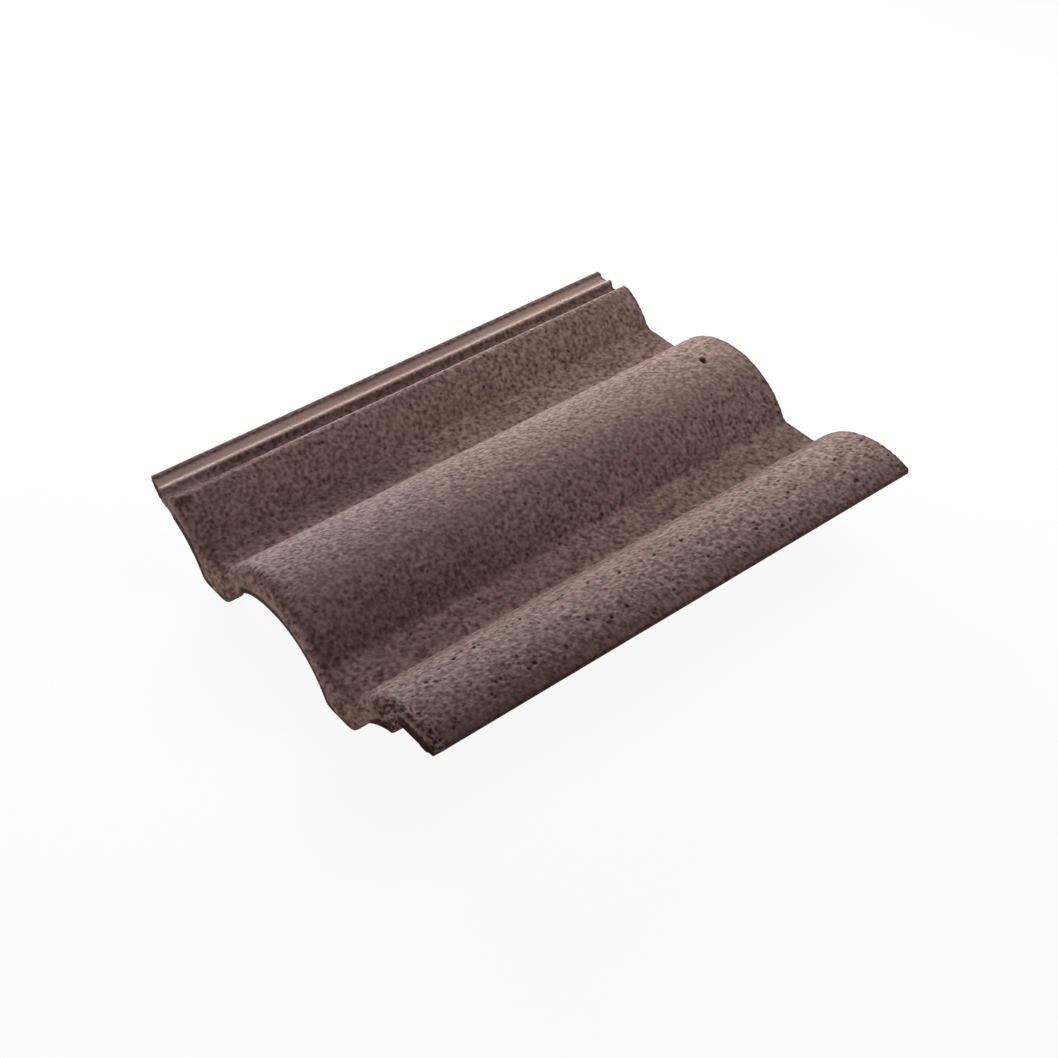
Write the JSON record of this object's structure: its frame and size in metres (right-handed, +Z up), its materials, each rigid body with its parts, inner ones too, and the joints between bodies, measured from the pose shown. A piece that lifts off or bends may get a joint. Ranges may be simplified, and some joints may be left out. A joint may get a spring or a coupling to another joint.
{
  "type": "concrete roof tile",
  "caption": "Interlocking double-roll concrete roof tile with a ribbed side lock, a lapping roll, weather bars, hanging nibs and a nail hole.",
  "frame": {"origin": "under the middle of the tile, on the plane that its weather bars and nibs stand on", "axes": "+Y from the tail to the head, +X across the tile from the side lock to the lapping roll, +Z up through the weather side"},
  "size_m": [0.3332, 0.42, 0.0645],
  "materials": {
    "concrete": "through-coloured dark brown concrete, fine sandy grain, matt"
  },
  "bodies": {
    "root": {"roof_tile": "concrete"}
  },
  "joints": []
}
